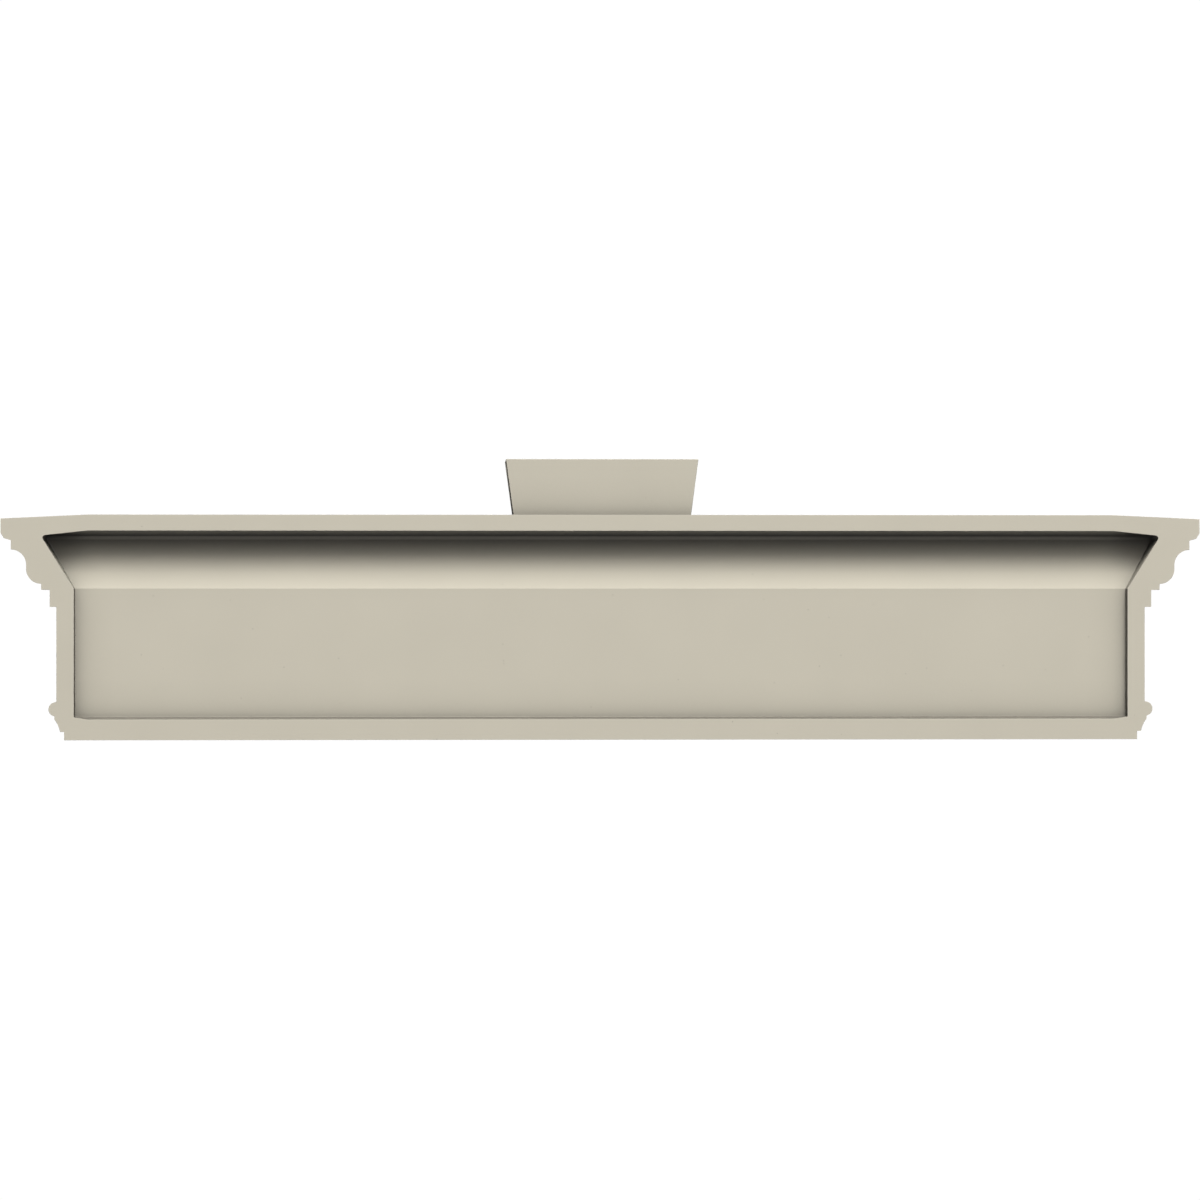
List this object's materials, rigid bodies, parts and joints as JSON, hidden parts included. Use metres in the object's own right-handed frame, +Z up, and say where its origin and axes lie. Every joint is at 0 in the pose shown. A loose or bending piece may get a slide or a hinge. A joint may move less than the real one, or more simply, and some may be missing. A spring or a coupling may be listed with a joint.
{
  "type": "window crosshead",
  "caption": "Moulded window crosshead, mitred and returned at both ends, hollow behind a crown and plain frieze, with a tapered keystone coped over its face and rising above it.",
  "frame": {"origin": "middle of the lower rail's back face, in the plane of the wall, where the crosshead is fixed", "axes": "+Z up, +Y into the wall, so the moulded face looks along -Y; +X along the length of the head, with both ends alike"},
  "size_m": [1.2192, 0.1169, 0.2858],
  "materials": {
    "body_primer": "factory primer, matt, beige-grey",
    "keystone_primer": "factory primer, matt, beige-grey"
  },
  "bodies": {
    "root": {"crosshead": "body_primer", "keystone": "keystone_primer"}
  },
  "joints": []
}
